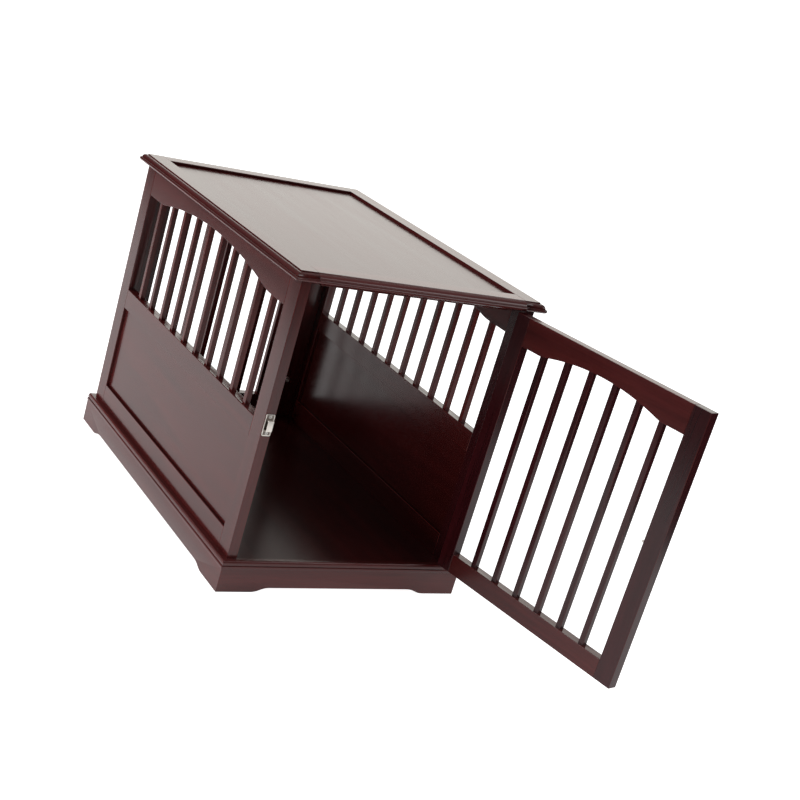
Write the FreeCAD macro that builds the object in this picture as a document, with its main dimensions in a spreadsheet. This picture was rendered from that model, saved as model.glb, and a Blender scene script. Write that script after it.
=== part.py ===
import FreeCAD, Part
import math
import os

import Sketcher
from FreeCAD import Vector

# Dog crate end table in dark wood.
# Frame: +Z up, X across the doorway, Y from the doorway (-Y) to the back. The origin is on the floor, under
# the middle of the body. The door stands open, as photographed: that is the zero of its hinge.

doc = FreeCAD.newDocument("dog_crate_end_table")
sheet = doc.addObject("Spreadsheet::Sheet", "Sizes")
sheet.Label = "Sizes"

SIZES = [
    # whole crate
    ("overall_height", 560),
    ("body_width", 456),
    ("body_depth", 680),
    ("frame_thick", 18),
    ("touch_gap", 0.3),
    # moulded top
    ("top_overhang_side", 17.5),
    ("top_overhang_end", 11),
    ("top_thick", 16),
    ("top_frame_wide", 43),
    ("top_recess", 5),
    ("top_panel_thick", 6),
    ("groove_deep", 6),
    ("top_edge_inset", 11),
    ("top_edge_step", 1),
    ("top_edge_step_drop", 2),
    ("top_quirk", 1),
    ("top_bead_bulge", 1.5),
    # base skirt and floor
    ("skirt_tall", 58),
    ("skirt_thick", 12),
    ("skirt_foot_long", 65),
    ("skirt_foot_curve", 36),
    ("skirt_scallop", 8),
    ("skirt_edge_inset", 3),
    ("skirt_round_tall", 6.5),
    ("skirt_lip_inset", 0.8),
    ("skirt_lip_tall", 1.5),
    ("skirt_quirk_inset", 1.8),
    ("skirt_quirk_tall", 2.3),
    ("skirt_quirk_slope", 0.65),
    ("skirt_bead_tall", 4.2),
    ("skirt_face_inset", 1),
    ("floor_top", 54),
    ("floor_thick", 12),
    ("bearer_wide", 20),
    ("bearer_clear_floor", 10),
    # side panels
    ("stile_wide", 38),
    ("side_bottom_rail_tall", 42),
    ("side_infill_tall", 165),
    ("side_infill_thick", 6),
    ("side_mid_rail_tall", 37),
    ("side_top_rail_tall", 54),
    ("side_arch_rise", 27.5),
    ("side_arch_shoulder", 50),
    # slats
    ("slat_wide", 10.5),
    ("slat_thick", 9.5),
    ("slat_tenon", 8),
    ("side_slat_count", 10),
    ("end_slat_count", 6),
    # back panel
    ("back_top_rail_tall", 53.5),
    # door
    ("door_open_angle", 101.5),
    ("door_gap_side", 2),
    ("door_gap_top", 3),
    ("door_gap_bottom", 1.5),
    ("door_hinge_stile_wide", 29),
    ("door_free_stile_wide", 34),
    ("door_bottom_rail_tall", 34.5),
    ("door_top_rail_tall", 50.5),
    ("end_arch_rise", 18.5),
    ("end_arch_shoulder", 40),
    ("door_stop_deep", 14),
    ("door_stop_tall", 10),
    ("door_stop_end_clear", 27),
    # hinges
    ("knuckle_radius", 3),
    ("knuckle_gap", 0.3),
    ("pin_radius", 1.3),
    ("pin_play", 0.08),
    ("leaf_thick", 0.9),
    ("leaf_wide", 16),
    ("leaf_tall", 50),
    ("hinge_from_end", 62),
    ("leaf_screw_from_knuckle", 9),
    ("leaf_screws_apart", 30),
    # latch
    ("latch_height", 299),
    ("latch_plate_long", 25.5),
    ("latch_plate_tall", 26),
    ("latch_plate_thick", 1.2),
    ("latch_plate_edge", 7.5),
    ("latch_guide_wide", 2.5),
    ("latch_rod_radius", 2),
    ("latch_rod_play", 0.1),
    ("latch_rod_long", 42),
    ("latch_rod_stand", 3.6),
    ("latch_guide_wall", 1.2),
    ("latch_guide_inset", 0.5),
    ("latch_stem_radius", 1.2),
    ("latch_stem_long", 8),
    ("latch_knob_radius", 3),
    ("latch_screws_apart", 18),
    ("keeper_wide", 14),
    ("keeper_tall", 38),
    ("keeper_loop_wide", 12),
    ("keeper_loop_tall", 19),
    ("keeper_wall", 1.2),
    ("keeper_loop_clear", 0.9),
    # small fixings
    ("screw_radius", 1.4),
    ("screw_head_radius", 2.8),
    ("screw_long", 14),
    ("cleat_size", 18),
    ("cleat_end_clear", 50),
    ("cleat_screw_long", 22),
    ("cleat_screw_inset", 6),
    ("cleat_screw_step", 232),
    ("cam_radius", 7.5),
    ("cam_deep", 12),
    ("cam_from_edge", 27),
    ("cam_low", 135),
    ("cam_high", 480),
    ("cam_bolt_radius", 3),
    ("cam_bolt_in_side", 12),
    ("floor_screw_long", 36),
    ("floor_screw_step", 255),
    ("back_screws_apart", 210),
]

for row, (name, number) in enumerate(SIZES, start=1):
    sheet.set("A%d" % row, name)
    sheet.set("B%d" % row, str(number))
    sheet.setAlias("B%d" % row, name)
doc.recompute()


class Size:
    """A length that knows both its number and the expression that binds it to the sheet."""

    def __init__(self, number, text):
        self.number = float(number)
        self.text = text

    def __add__(self, other):
        other = as_size(other)
        return Size(self.number + other.number, "(%s + %s)" % (self.text, other.text))

    def __sub__(self, other):
        other = as_size(other)
        return Size(self.number - other.number, "(%s - %s)" % (self.text, other.text))

    def __mul__(self, other):
        other = as_size(other)
        return Size(self.number * other.number, "(%s * %s)" % (self.text, other.text))

    def __truediv__(self, other):
        other = as_size(other)
        return Size(self.number / other.number, "(%s / %s)" % (self.text, other.text))

    def __radd__(self, other):
        return as_size(other) + self

    def __rsub__(self, other):
        return as_size(other) - self

    def __rmul__(self, other):
        return as_size(other) * self

    def __neg__(self):
        return Size(-self.number, "(0 - %s)" % self.text)


def as_size(thing):
    if isinstance(thing, Size):
        return thing
    return Size(thing, "%.6f" % thing)


def cosine(angle):
    angle = as_size(angle)
    return Size(math.cos(math.radians(angle.number)), "cos(%s * 1 deg)" % angle.text)


def sine(angle):
    angle = as_size(angle)
    return Size(math.sin(math.radians(angle.number)), "sin(%s * 1 deg)" % angle.text)


def at_least_zero(size):
    return Size(max(0.0, size.number), "max(0; %s)" % size.text)


sizes = {name: Size(sheet.get(name), "Sizes." + name) for name, number in SIZES}


def size(name):
    return sizes[name]


class Turned:
    """Pieces modelled as if the door were shut, then turned about the hinge pins to the open pose."""

    def __init__(self, pivot_x, pivot_y, angle):
        self.pivot_x = pivot_x
        self.pivot_y = pivot_y
        self.angle = angle

    def spot(self, x, y):
        from_x = as_size(x) - self.pivot_x
        from_y = as_size(y) - self.pivot_y
        turned_x = self.pivot_x + from_x * cosine(self.angle) - from_y * sine(self.angle)
        turned_y = self.pivot_y + from_x * sine(self.angle) + from_y * cosine(self.angle)
        return turned_x, turned_y


class Fixed:
    """Pieces that stay with the crate."""

    angle = Size(0.0, "0")

    def spot(self, x, y):
        return as_size(x), as_size(y)


CRATE = Fixed()


def bind(thing, path, value):
    thing.setExpression(path, as_size(value).text)


def place_upright(thing, x, y, z, carrier, heading=0):
    """Local Z stays up; local X points along the heading, in degrees from +X, seen from above."""
    spot_x, spot_y = carrier.spot(x, y)
    turn = carrier.angle + heading
    thing.Placement = FreeCAD.Placement(
        Vector(spot_x.number, spot_y.number, as_size(z).number),
        FreeCAD.Rotation(Vector(0, 0, 1), turn.number),
    )
    bind(thing, "Placement.Base.x", spot_x)
    bind(thing, "Placement.Base.y", spot_y)
    bind(thing, "Placement.Base.z", z)
    bind(thing, "Placement.Rotation.Angle", turn)


def place_lying(thing, x, y, z, carrier, heading):
    """Local Z lies level and points along the heading."""
    spot_x, spot_y = carrier.spot(x, y)
    turn = carrier.angle + heading
    axis_x = -sine(turn)
    axis_y = cosine(turn)
    thing.Placement = FreeCAD.Placement(
        Vector(spot_x.number, spot_y.number, as_size(z).number),
        FreeCAD.Rotation(Vector(axis_x.number, axis_y.number, 0), 90),
    )
    bind(thing, "Placement.Base.x", spot_x)
    bind(thing, "Placement.Base.y", spot_y)
    bind(thing, "Placement.Base.z", z)
    bind(thing, "Placement.Rotation.Axis.x", axis_x)
    bind(thing, "Placement.Rotation.Axis.y", axis_y)


def board(label, x_range, y_range, z_range, carrier=CRATE):
    """A plain rectangular board between the given faces."""
    thing = doc.addObject("Part::Box", label)
    low_x, high_x = [as_size(value) for value in x_range]
    low_y, high_y = [as_size(value) for value in y_range]
    low_z, high_z = [as_size(value) for value in z_range]
    bind(thing, "Length", high_x - low_x)
    bind(thing, "Width", high_y - low_y)
    bind(thing, "Height", high_z - low_z)
    place_upright(thing, low_x, low_y, low_z, carrier)
    return thing


def rod_up(label, x, y, z_range, radius, carrier=CRATE):
    thing = doc.addObject("Part::Cylinder", label)
    low_z, high_z = [as_size(value) for value in z_range]
    bind(thing, "Radius", radius)
    bind(thing, "Height", high_z - low_z)
    place_upright(thing, x, y, low_z, carrier)
    return thing


def rod_level(label, x, y, z, radius, length, heading, carrier=CRATE):
    thing = doc.addObject("Part::Cylinder", label)
    bind(thing, "Radius", radius)
    bind(thing, "Height", length)
    place_lying(thing, x, y, z, carrier, heading)
    return thing


def joined(label, things):
    """Several shapes fused to one solid."""
    thing = doc.addObject("Part::MultiFuse", label)
    thing.Shapes = things
    return thing


def screw_head(label):
    """The countersunk head of a wood screw, widest at its origin."""
    thing = doc.addObject("Part::Cone", label)
    bind(thing, "Radius1", size("screw_head_radius"))
    bind(thing, "Radius2", size("screw_radius"))
    bind(thing, "Height", size("screw_head_radius") - size("screw_radius"))
    return thing


def screw_up(label, x, y, z, length):
    """A screw driven straight up, with its head's face at the given height."""
    shank = rod_up(label + "_shank", x, y, (z, z + length), size("screw_radius"))
    head = screw_head(label + "_head")
    place_upright(head, x, y, z, CRATE)
    return joined(label, [shank, head])


def screw_level(label, x, y, z, heading, carrier=CRATE):
    """A screw driven level along the heading, with its head's face at the given place."""
    shank = rod_level(label + "_shank", x, y, z, size("screw_radius"), size("screw_long"), heading, carrier)
    head = screw_head(label + "_head")
    place_lying(head, x, y, z, carrier, heading)
    return joined(label, [shank, head])


def cut(label, base, tools):
    """The base less each of the tools."""
    for index, tool in enumerate(tools):
        last = index == len(tools) - 1
        thing = doc.addObject("Part::Cut", label if last else label + "_step_%d" % (index + 1))
        thing.Base = base
        thing.Tool = tool
        base = thing
    return base


def group(label, things):
    """Separate solids that share one node."""
    thing = doc.addObject("Part::Compound", label)
    thing.Links = things
    return thing


def outline_sketch(body, name, plane_role, corners):
    """A closed outline. Each corner is (x, y) or (x, y, centre x, centre y, radius, turns left), where the
    last four describe the arc that leads to this corner from the one before it."""
    sketch = body.newObject("Sketcher::SketchObject", name)
    plane = [item for item in body.Origin.OriginFeatures if item.Role == plane_role][0]
    sketch.AttachmentSupport = [(plane, "")]
    sketch.MapMode = "FlatFace"
    count = len(corners)
    ends = []
    for index, corner in enumerate(corners):
        before = corners[index - 1]
        start = Vector(as_size(before[0]).number, as_size(before[1]).number, 0)
        end = Vector(as_size(corner[0]).number, as_size(corner[1]).number, 0)
        if len(corner) == 2:
            sketch.addGeometry(Part.LineSegment(start, end), False)
            ends.append((1, 2))
            continue
        centre = Vector(as_size(corner[2]).number, as_size(corner[3]).number, 0)
        circle = Part.Circle(centre, Vector(0, 0, 1), as_size(corner[4]).number)
        first = math.atan2(start.y - centre.y, start.x - centre.x)
        second = math.atan2(end.y - centre.y, end.x - centre.x)
        if corner[5]:
            sketch.addGeometry(Part.ArcOfCircle(circle, first, second), False)
            ends.append((1, 2))
        else:
            sketch.addGeometry(Part.ArcOfCircle(circle, second, first), False)
            ends.append((2, 1))
    for index in range(count):
        following = (index + 1) % count
        sketch.addConstraint(
            Sketcher.Constraint("Coincident", index, ends[index][1], following, ends[following][0])
        )
    for index, corner in enumerate(corners):
        for kind, value in (("DistanceX", corner[0]), ("DistanceY", corner[1])):
            value = as_size(value)
            number = sketch.addConstraint(Sketcher.Constraint(kind, index, ends[index][1], value.number))
            sketch.setExpression("Constraints[%d]" % number, value.text)
        if len(corner) > 2:
            number = sketch.addConstraint(Sketcher.Constraint("Radius", index, as_size(corner[4]).number))
            sketch.setExpression("Constraints[%d]" % number, as_size(corner[4]).text)
    return sketch


def padded_body(label, plane_role, corners, length):
    """An outline padded half to each side of its plane."""
    body = doc.addObject("PartDesign::Body", label)
    sketch = outline_sketch(body, label + "_outline", plane_role, corners)
    pad = body.newObject("PartDesign::Pad", label + "_pad")
    pad.Profile = sketch
    pad.SideType = "Symmetric"
    bind(pad, "Length", length)
    doc.recompute()
    return body


def pocket_through(body, name, plane_role, corners):
    """An outline cut right through the body, to both sides of its plane."""
    volume = body.Shape.Volume
    sketch = outline_sketch(body, name + "_outline", plane_role, corners)
    pocket = body.newObject("PartDesign::Pocket", name)
    pocket.Profile = sketch
    pocket.Type = "ThroughAll"
    pocket.SideType = "Symmetric"
    doc.recompute()
    if body.Shape.Volume >= volume:
        raise RuntimeError(name + " cut nothing")


# ------------------------------------------------------------------------------------------
# Places shared by many pieces
# ------------------------------------------------------------------------------------------

frame_thick = size("frame_thick")
half_width = size("body_width") / 2
half_depth = size("body_depth") / 2
inner_half = half_width - frame_thick
body_top = size("overall_height") - size("top_thick")
floor_top = size("floor_top")
floor_under = floor_top - size("floor_thick")
stile_wide = size("stile_wide")
half_slat = size("slat_wide") / 2
half_slat_thick = size("slat_thick") / 2


# How much of an arch's two radii together belongs to the hollow at its shoulder.
HOLLOW_SHARE = 0.12


def arch_corners(half_long, tall, shoulder, rise):
    """A rail with a shallow ogee arch in its lower edge. The middle of its top edge is at 0, 0."""
    span = half_long - shoulder
    # Two tangent arcs climb the rise over the span: a tight hollow at the shoulder, then a long round.
    slope = rise / span
    bend = Size(
        2 * math.degrees(math.atan(slope.number)),
        "(2 * atan(%s) / 1 deg)" % slope.text,
    )
    both_radii = span / sine(bend)
    hollow_radius = both_radii * HOLLOW_SHARE
    round_radius = both_radii - hollow_radius
    join_x = span - hollow_radius * sine(bend)
    join_y = hollow_radius * (1 - cosine(bend)) - tall
    return [
        (-half_long, as_size(0)),
        (-half_long, -tall),
        (-span, -tall),
        (-join_x, join_y, -span, hollow_radius - tall, hollow_radius, True),
        (join_x, join_y, as_size(0), rise - tall - round_radius, round_radius, False),
        (span, -tall, span, hollow_radius - tall, hollow_radius, True),
        (half_long, -tall),
        (half_long, as_size(0)),
    ]


def slat_top(offset, shoulder_z, half_long, shoulder, rise):
    """Each slat ends a tenon's length above the arched edge over it."""
    span = half_long - shoulder
    share = offset / span
    return shoulder_z + size("slat_tenon") + rise * at_least_zero(1 - share * share)


# ------------------------------------------------------------------------------------------
# Moulded top: two long rails run the full depth, two end rails butt between them, a panel lies in grooves
# ------------------------------------------------------------------------------------------

top_half_wide = half_width + size("top_overhang_side")
top_half_deep = half_depth + size("top_overhang_end")
top_inner_wide = top_half_wide - size("top_frame_wide")
top_inner_deep = top_half_deep - size("top_frame_wide")
ovolo_drop = (size("top_thick") - size("top_edge_step_drop") - size("top_quirk") * 2) / 2
bead_half = ovolo_drop / 2
bead_bulge = size("top_bead_bulge")
ovolo_inset = bead_bulge * 2
ovolo_wide = size("top_edge_inset") - size("top_edge_step") - ovolo_inset
ovolo_radius = (ovolo_wide * ovolo_wide + ovolo_drop * ovolo_drop) / (ovolo_drop * 2)
bead_radius = (bead_half * bead_half + bead_bulge * bead_bulge) / (bead_bulge * 2)


def moulded_edge(outer):
    """The moulding from the top arris (height 0) down to the underside: a small step, an ovolo, a quirk and
    a bead. The bead's fullest line is at the given distance."""
    step_x = outer - size("top_edge_inset")
    ovolo_x = step_x + size("top_edge_step")
    ovolo_top = -size("top_edge_step_drop")
    ovolo_low = ovolo_top - ovolo_drop
    bead_top = ovolo_low - size("top_quirk")
    bead_low = bead_top - bead_half * 2
    return [
        (step_x, as_size(0)),
        (step_x, ovolo_top),
        (ovolo_x, ovolo_top),
        (outer - ovolo_inset, ovolo_low, ovolo_x, ovolo_top - ovolo_radius, ovolo_radius, False),
        (outer - ovolo_inset, bead_top),
        (outer - bead_bulge, bead_top),
        (outer - bead_bulge, bead_low, outer - bead_radius, bead_top - bead_half, bead_radius, False),
        (outer - ovolo_inset, -size("top_thick")),
    ]


def mirrored(corners):
    """The same outline on the other side of the middle."""
    other = []
    for corner in corners:
        if len(corner) == 2:
            other.append((-corner[0], corner[1]))
        else:
            other.append((-corner[0], corner[1], -corner[2], corner[3], corner[4], not corner[5]))
    return other


def top_rail(label, half_long, x, y, heading):
    """Local X runs along the rail, local Y outward from its inner edge. Its top face is at height 0."""
    inner_edge = [(as_size(0), -size("top_thick")), (as_size(0), as_size(0))]
    body = padded_body(label, "YZ_Plane", inner_edge + moulded_edge(size("top_frame_wide")), half_long * 2)
    place_upright(body, x, y, size("overall_height"), CRATE, heading)
    return body


def mould_ends(body, label):
    """The moulding returns across both ends of a long rail."""
    beyond = top_half_deep + size("top_edge_inset")
    loop = moulded_edge(top_half_deep) + [(beyond, -size("top_thick")), (beyond, as_size(0))]
    pocket_through(body, label + "_end_a", "XZ_Plane", loop)
    pocket_through(body, label + "_end_b", "XZ_Plane", mirrored(loop))
    return body


panel_top = size("overall_height") - size("top_recess")
panel_under = panel_top - size("top_panel_thick")
groove = size("groove_deep")
top_panel = board(
    "top_panel",
    (-top_inner_wide - groove, top_inner_wide + groove),
    (-top_inner_deep - groove, top_inner_deep + groove),
    (panel_under, panel_top),
)

# Cleats under the top, screwed up into its long rails.
cleat = size("cleat_size")
cleat_half_long = half_depth - size("cleat_end_clear")
cleats = {}
cleat_screws = []
for side, sign in (("left", -1), ("right", 1)):
    inner_x = inner_half - cleat
    x_range = (inner_x, inner_half) if sign > 0 else (-inner_half, -inner_x)
    y_range = (-cleat_half_long, cleat_half_long)
    cleats[side] = board("cleat_blank_" + side, x_range, y_range, (body_top - cleat, body_top))
    screw_x = (inner_half - size("cleat_screw_inset")) * sign
    for number, step in enumerate((-1, 0, 1), start=1):
        name = "cleat_screw_%s_%d" % (side, number)
        screw_y = size("cleat_screw_step") * step
        cleat_screws.append(screw_up(name, screw_x, screw_y, body_top - cleat, size("cleat_screw_long")))
top_screws = group("top_cleat_screws", cleat_screws)
cut("top_cleat_left", cleats["left"], [top_screws])
cut("top_cleat_right", cleats["right"], [top_screws])

left_rail = top_rail("top_blank_left", top_half_deep, -top_inner_wide, 0, 90)
cut("top_rail_left", mould_ends(left_rail, "top_blank_left"), [top_panel, top_screws])
right_rail = top_rail("top_blank_right", top_half_deep, top_inner_wide, 0, 270)
cut("top_rail_right", mould_ends(right_rail, "top_blank_right"), [top_panel, top_screws])
back_end = top_rail("top_blank_back", top_inner_wide, 0, top_inner_deep, 0)
cut("top_rail_back", back_end, [top_panel])
front_end = top_rail("top_blank_front", top_inner_wide, 0, -top_inner_deep, 180)
cut("top_rail_front", front_end, [top_panel])

# ------------------------------------------------------------------------------------------
# Floor board, its bearers and the screws that hold the panels down to it
# ------------------------------------------------------------------------------------------

floor_screws_list = []
floor_screw_spots = []
for sign in (-1, 1):
    for step in (-1, 0, 1):
        floor_screw_spots.append((sign * (half_width - frame_thick / 2), size("floor_screw_step") * step))
    floor_screw_spots.append((size("back_screws_apart") / 2 * sign, half_depth - frame_thick / 2))
for number, (screw_x, screw_y) in enumerate(floor_screw_spots, start=1):
    name = "floor_screw_%d" % number
    floor_screws_list.append(screw_up(name, screw_x, screw_y, floor_under, size("floor_screw_long")))
floor_screws = group("floor_screws", floor_screws_list)
floor_z = (floor_under, floor_top)
floor_blank = board("floor_blank", (-half_width, half_width), (-half_depth, half_depth), floor_z)
cut("floor_panel", floor_blank, [floor_screws])

# Bearers under the board, inside the skirt and clear of the ground. The middle one reaches the ground, so
# that the board doesn't bend under a dog.
bearer = size("bearer_wide")
bearer_z = (size("bearer_clear_floor"), floor_under)
board("floor_bearer_left", (-half_width, bearer - half_width), (-half_depth, half_depth), bearer_z)
board("floor_bearer_right", (half_width - bearer, half_width), (-half_depth, half_depth), bearer_z)
cross_x = (bearer - half_width, half_width - bearer)
board("floor_bearer_front", cross_x, (-half_depth, bearer - half_depth), bearer_z)
board("floor_bearer_back", cross_x, (half_depth - bearer, half_depth), bearer_z)
board("floor_bearer_middle", cross_x, (-bearer / 2, bearer / 2), (0, floor_under))

# ------------------------------------------------------------------------------------------
# Base skirt: four mitred boards with a moulded top edge and feet left by a shallow scallop
# ------------------------------------------------------------------------------------------


def skirt(label, half_long, heading, x, y):
    """Local X runs along the board, local Y outward from its inner face, local Z up from the floor."""
    tall = size("skirt_tall")
    thick = size("skirt_thick")
    outer = thick - size("skirt_lip_inset")
    round_wide = size("skirt_edge_inset") - size("skirt_lip_inset")
    round_tall = size("skirt_round_tall")
    round_radius = (round_wide * round_wide + round_tall * round_tall) / (round_wide * 2)
    lip_z = tall - round_tall - size("skirt_lip_tall")
    quirk_y = thick - size("skirt_quirk_inset")
    quirk_slope = size("skirt_quirk_slope")
    bead_z = lip_z - size("skirt_quirk_tall")
    face_z = bead_z - size("skirt_bead_tall")
    profile = [
        (as_size(0), as_size(0)),
        (as_size(0), tall),
        (thick - size("skirt_edge_inset"), tall),
        (outer, tall - round_tall, outer - round_radius, tall - round_tall, round_radius, False),
        (outer, lip_z),
        (quirk_y, lip_z - quirk_slope),
        (quirk_y, bead_z + quirk_slope),
        (thick, bead_z),
        (thick, face_z),
        (thick - size("skirt_face_inset"), face_z - size("skirt_face_inset")),
        (thick - size("skirt_face_inset"), as_size(0)),
    ]
    outer_half = half_long + thick
    body = padded_body(label, "YZ_Plane", profile, outer_half * 2)
    mitre = [
        (half_long, as_size(0)),
        (half_long + thick * 2, as_size(0)),
        (half_long + thick * 2, thick * 2),
    ]
    pocket_through(body, label + "_mitre_a", "XY_Plane", mitre)
    pocket_through(body, label + "_mitre_b", "XY_Plane", mirrored(mitre))
    foot = size("skirt_foot_long")
    curve = size("skirt_foot_curve")
    scallop = size("skirt_scallop")
    foot_end = outer_half - foot
    scallop_end = foot_end - curve
    slope = scallop / curve
    bend = Size(2 * math.degrees(math.atan(slope.number)), "(2 * atan(%s) / 1 deg)" % slope.text)
    ogee_radius = curve / sine(bend) / 2
    middle_x = (foot_end + scallop_end) / 2
    below = -scallop
    loop = [
        (-foot_end, below),
        (-foot_end, as_size(0)),
        (-middle_x, scallop / 2, -foot_end, ogee_radius, ogee_radius, True),
        (-scallop_end, scallop, -scallop_end, scallop - ogee_radius, ogee_radius, False),
        (scallop_end, scallop),
        (middle_x, scallop / 2, scallop_end, scallop - ogee_radius, ogee_radius, False),
        (foot_end, as_size(0), foot_end, ogee_radius, ogee_radius, True),
        (foot_end, below),
    ]
    pocket_through(body, label + "_scallop", "XZ_Plane", loop)
    place_upright(body, x, y, as_size(0), CRATE, heading)
    return body


skirt("skirt_back", half_width, 0, as_size(0), half_depth)
skirt("skirt_front", half_width, 180, as_size(0), -half_depth)
skirt("skirt_left", half_depth, 90, -half_width, as_size(0))
skirt("skirt_right", half_depth, 270, half_width, as_size(0))

# ------------------------------------------------------------------------------------------
# Hinge line of the door
# ------------------------------------------------------------------------------------------

pivot_x = inner_half - size("door_gap_side") / 2
pivot_y = -half_depth - size("knuckle_radius") - size("knuckle_gap")
DOOR = Turned(pivot_x, pivot_y, size("door_open_angle"))

door_low = size("skirt_tall") + size("door_gap_bottom")
door_high = body_top - size("door_gap_top")
door_hinge_x = inner_half - size("door_gap_side")
door_free_x = -door_hinge_x
door_face_y = -half_depth
door_inner_y = door_face_y + frame_thick
leaf_thick = size("leaf_thick")
leaf_wide = size("leaf_wide")
leaf_half = size("leaf_tall") / 2
knuckle_radius = size("knuckle_radius")
bore_radius = size("pin_radius") + size("pin_play")

knuckle_reach = knuckle_radius * 2
leaf_screw_y = pivot_y + knuckle_radius + size("leaf_screw_from_knuckle")
HINGES = (("upper", door_high - size("hinge_from_end")), ("lower", door_low + size("hinge_from_end")))
fixed_screws = []
door_screws = []
for place, middle_z in HINGES:
    leaf_z = (middle_z - leaf_half, middle_z + leaf_half)
    bore_z = (middle_z - leaf_half * 2, middle_z + leaf_half * 2)
    rod_up("hinge_pin_" + place, pivot_x, pivot_y, leaf_z, size("pin_radius"))
    third = size("leaf_tall") / 3
    # leaf screwed to the crate's front post: its two knuckles are the outer thirds
    flap = board(
        "fixed_flap_" + place,
        (inner_half - leaf_thick, inner_half),
        (pivot_y, pivot_y + leaf_wide + knuckle_radius),
        leaf_z,
    )
    screws_here = []
    for number, sign in enumerate((-1, 1), start=1):
        name = "fixed_screw_%s_%d" % (place, number)
        screw_z = middle_z + size("leaf_screws_apart") / 2 * sign
        screws_here.append(screw_level(name, inner_half - leaf_thick, leaf_screw_y, screw_z, 0))
    fixed_screws += screws_here
    knuckles = []
    for number, sign in enumerate((-1, 1), start=1):
        low = middle_z + sign * (third / 2 + size("touch_gap") / 2)
        high = middle_z + sign * leaf_half
        z_range = (low, high) if sign > 0 else (high, low)
        name = "fixed_knuckle_%s_%d" % (place, number)
        knuckles.append(rod_up(name, pivot_x, pivot_y, z_range, knuckle_radius))
    notch = board(
        "fixed_notch_" + place,
        (pivot_x - knuckle_reach, inner_half + knuckle_radius),
        (pivot_y - knuckle_reach, pivot_y + knuckle_radius + size("knuckle_gap")),
        (middle_z - third / 2 - size("touch_gap") / 2, middle_z + third / 2 + size("touch_gap") / 2),
    )
    bore = rod_up("fixed_bore_" + place, pivot_x, pivot_y, bore_z, size("pin_radius"))
    leaf = joined("fixed_leaf_solid_" + place, [flap] + knuckles)
    cut("hinge_fixed_leaf_" + place, leaf, [notch, bore] + screws_here)
    # leaf screwed to the door's edge: its knuckle is the middle third and turns on the pin
    flap = board(
        "door_flap_" + place,
        (door_hinge_x, door_hinge_x + leaf_thick),
        (pivot_y, pivot_y + leaf_wide + knuckle_radius),
        leaf_z,
        DOOR,
    )
    screws_here = []
    for number, sign in enumerate((-1, 1), start=1):
        name = "door_screw_%s_%d" % (place, number)
        screw_z = middle_z + size("leaf_screws_apart") / 2 * sign
        screws_here.append(screw_level(name, door_hinge_x + leaf_thick, leaf_screw_y, screw_z, 180, DOOR))
    door_screws += screws_here
    middle_third = (middle_z - third / 2, middle_z + third / 2)
    knuckle = rod_up("door_knuckle_" + place, pivot_x, pivot_y, middle_third, knuckle_radius)
    leaf = joined("door_leaf_solid_" + place, [flap, knuckle])
    for number, sign in enumerate((-1, 1), start=1):
        low = middle_z + sign * third / 2
        high = middle_z + sign * (leaf_half + knuckle_radius)
        z_range = (low, high) if sign > 0 else (high, low)
        clear = board(
            "door_notch_%s_%d" % (place, number),
            (pivot_x - knuckle_reach, pivot_x + knuckle_reach),
            (pivot_y - knuckle_reach, pivot_y + knuckle_radius + size("knuckle_gap")),
            z_range,
            DOOR,
        )
        leaf = cut("door_leaf_cleared_%s_%d" % (place, number), leaf, [clear])
    bore = rod_up("door_bore_" + place, pivot_x, pivot_y, bore_z, bore_radius)
    cut("hinge_door_leaf_" + place, leaf, [bore] + screws_here)
fixed_hinge_screws = group("hinge_fixed_screws", fixed_screws)
door_hinge_screws = group("hinge_door_screws", door_screws)

# ------------------------------------------------------------------------------------------
# Cam fittings: a disc in each back post, turned onto a bolt that holds the side's post to it
# ------------------------------------------------------------------------------------------

back_inner_y = half_depth - frame_thick
back_middle_y = half_depth - frame_thick / 2
cam_list = []
bolt_list = []
for side, sign in (("left", -1), ("right", 1)):
    for level, cam_z in (("low", size("cam_low")), ("high", size("cam_high"))):
        cam_x = sign * (inner_half - size("cam_from_edge"))
        name = "%s_%s" % (side, level)
        cam_list.append(
            rod_level("cam_" + name, cam_x, back_inner_y, cam_z, size("cam_radius"), size("cam_deep"), 90)
        )
        reach = size("cam_from_edge") - size("cam_radius") - size("touch_gap")
        bolt_start = sign * (inner_half - reach)
        bolt_long = reach + size("cam_bolt_in_side")
        heading = 0 if sign > 0 else 180
        bolt_radius = size("cam_bolt_radius")
        bolt_list.append(
            rod_level("cam_bolt_" + name, bolt_start, back_middle_y, cam_z, bolt_radius, bolt_long, heading)
        )
cams = group("cam_discs", cam_list)
cam_bolts = group("cam_bolts", bolt_list)

# ------------------------------------------------------------------------------------------
# Latch: a short barrel bolt on the outer face of the free post, and a keeper on the crate's left front post
# ------------------------------------------------------------------------------------------

latch_z = size("latch_height")
plate_free_x = door_free_x + size("latch_plate_edge")
plate_far_x = plate_free_x + size("latch_plate_long")
plate_y = door_face_y - size("latch_plate_thick")
rod_y = door_face_y - size("latch_rod_stand")
half_plate = size("latch_plate_tall") / 2
guide_wide = size("latch_guide_wide")
guide_radius = size("latch_rod_radius") + size("latch_guide_wall")
guide_inset = size("latch_guide_inset")
latch_screw_list = []
for number, sign in enumerate((-1, 1), start=1):
    screw_x = (plate_free_x + plate_far_x) / 2
    screw_z = latch_z + size("latch_screws_apart") / 2 * sign
    latch_screw_list.append(screw_level("latch_screw_%d" % number, screw_x, plate_y, screw_z, 90, DOOR))
latch_screws = group("latch_screws", latch_screw_list)
plate_parts = [
    board(
        "latch_plate_flat",
        (plate_free_x, plate_far_x),
        (plate_y, door_face_y),
        (latch_z - half_plate, latch_z + half_plate),
        DOOR,
    )
]
near_guide_x = plate_free_x + guide_inset
far_guide_x = plate_far_x - guide_wide - guide_inset
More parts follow.
